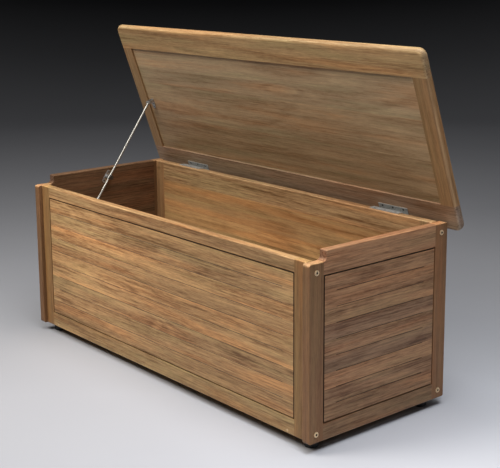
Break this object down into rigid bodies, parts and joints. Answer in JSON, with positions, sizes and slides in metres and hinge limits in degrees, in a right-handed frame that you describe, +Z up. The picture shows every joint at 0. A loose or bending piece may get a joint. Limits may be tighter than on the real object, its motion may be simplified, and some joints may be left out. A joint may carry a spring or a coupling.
{
  "type": "deck storage box",
  "caption": "Long framed and panelled teak storage box with a hinged overhanging lid, an offset hinge line and a sliding rod stay that holds the lid up.",
  "frame": {"origin": "centre of the outline on the floor, with the lid propped open as drawn", "axes": "+X along the box to the right-hand end, +Y from the front to the hinge side, +Z up"},
  "size_m": [1.568, 0.6258, 1.1356],
  "materials": {
    "teak_faces": "oiled, uneven boards with fine grain",
    "teak_ends": "oiled, darker red-brown boards",
    "teak_lid": "oiled, grey-brown cathedral grain",
    "teak_floor": "plain sawn, unpolished",
    "bolt_brass": "satin, slightly dull",
    "screw_brass": "satin",
    "hinge_steel": "brushed, satin",
    "stay_steel": "bright drawn rod, satin fittings",
    "screw_dark": "dull, darkened recess",
    "screw_steel": "plain zinc",
    "foot_black": "moulded, matt"
  },
  "bodies": {
    "box": {"left_front_stile": "teak_ends", "left_rear_stile": "teak_ends", "left_top_rail": "teak_ends", "left_bottom_rail": "teak_ends", "left_panel": "teak_ends", "right_front_stile": "teak_ends", "right_rear_stile": "teak_ends", "right_top_rail": "teak_ends", "right_bottom_rail": "teak_ends", "right_panel": "teak_ends", "front_left_stile": "teak_faces", "front_right_stile": "teak_faces", "front_top_rail": "teak_faces", "front_bottom_rail": "teak_faces", "front_panel": "teak_faces", "back_left_stile": "teak_faces", "back_right_stile": "teak_faces", "back_top_rail": "teak_faces", "back_bottom_rail": "teak_faces", "back_panel": "teak_faces", "front_bearer": "teak_floor", "rear_bearer": "teak_floor", "floor_slats": "teak_floor", "bearer_screws": "screw_brass", "rail_screws": "screw_brass", "slat_screws": "screw_brass", "feet": "foot_black", "foot_screws": "screw_steel", "corner_bolts": "bolt_brass", "barrel_nuts": "bolt_brass", "left_hinge_lower_leaf": "hinge_steel", "left_hinge_pin": "hinge_steel", "right_hinge_lower_leaf": "hinge_steel", "right_hinge_pin": "hinge_steel", "hinge_screws_body": "screw_dark", "stay_wall_plate": "stay_steel", "stay_wall_screws": "screw_dark"},
    "lid": {"lid_front_rail": "teak_lid", "lid_rear_rail": "teak_lid", "lid_left_stile": "teak_lid", "lid_right_stile": "teak_lid", "lid_panel": "teak_lid", "left_hinge_upper_leaf": "hinge_steel", "right_hinge_upper_leaf": "hinge_steel", "hinge_screws_lid": "screw_dark", "stay_lid_bracket": "stay_steel", "stay_lid_pin": "stay_steel", "stay_lid_screws": "screw_dark"},
    "stay_rod": {"stay_rod": "stay_steel", "stay_end_stop": "stay_steel"},
    "stay_collar": {"stay_collar": "stay_steel"},
    "stay_thumbscrew": {"stay_thumbscrew": "stay_steel"}
  },
  "joints": [
    {"name": "lid_hinge", "type": "hinge", "parent": "box", "child": "lid", "pos_m": [0, 0.25706, 0.572], "axis": [-1, 0, 0], "range_deg": [-70.5, 24.5]},
    {"name": "rod_pivot", "type": "hinge", "parent": "lid", "child": "stay_rod", "pos_m": [-0.7, 0.17839, 0.83163], "axis": [-1, 0, 0], "range_deg": [-12.25, 35.25]},
    {"name": "collar_swivel", "type": "hinge", "parent": "box", "child": "stay_collar", "pos_m": [-0.7, -0.01394, 0.5595], "axis": [-1, 0, 0], "range_deg": [-35.25, 12.25]},
    {"name": "thumbscrew_turn", "type": "hinge", "parent": "stay_collar", "child": "stay_thumbscrew", "pos_m": [-0.69, -0.01394, 0.5595], "axis": [1, 0, 0], "range_deg": [0, 360]}
  ],
  "couplings": [
    {"joint": "rod_pivot", "follows": "lid_hinge", "ratio": -0.5},
    {"joint": "collar_swivel", "follows": "lid_hinge", "ratio": 0.5}
  ]
}
